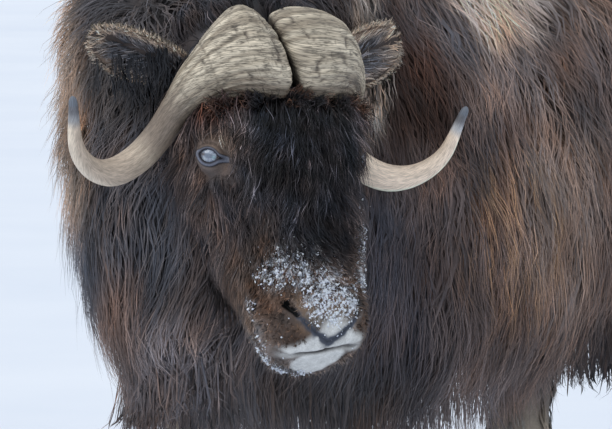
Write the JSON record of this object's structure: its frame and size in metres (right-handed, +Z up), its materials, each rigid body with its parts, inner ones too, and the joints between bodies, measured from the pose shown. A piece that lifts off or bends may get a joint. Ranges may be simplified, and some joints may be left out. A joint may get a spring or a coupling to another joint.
{
  "type": "muskox",
  "caption": "Standing muskox bull with a long shaggy coat, curved horns meeting in a broad boss, and its head turned to its left.",
  "frame": {"origin": "on the floor, at the middle of the plan's bounding box", "axes": "+Z up, -Y the way the body faces, +X the animal's left"},
  "size_m": [0.8633, 2.1622, 1.402],
  "materials": {
    "coat": "long dark brown guard hair with paler woolly parts",
    "face": "dark hair, short towards a pale bare-edged muzzle",
    "leg": "short pale hair",
    "horn": "grey-tan fibrous horn with dark tips",
    "eye": "wet, dark with a bluish reflection",
    "hoof": "dark dull hoof horn"
  },
  "bodies": {
    "root": {"trunk": "coat", "neck": "coat", "tail": "coat", "ear_left": "coat", "ear_right": "coat", "head": "face", "leg_fore_left": "leg", "leg_fore_right": "leg", "leg_hind_left": "leg", "leg_hind_right": "leg", "horn_left": "horn", "horn_right": "horn", "eye_left": "eye", "eye_right": "eye", "hoof_fore_left_inner": "hoof", "hoof_fore_left_outer": "hoof", "hoof_fore_right_inner": "hoof", "hoof_fore_right_outer": "hoof", "hoof_hind_left_inner": "hoof", "hoof_hind_left_outer": "hoof", "hoof_hind_right_inner": "hoof", "hoof_hind_right_outer": "hoof"}
  },
  "joints": []
}
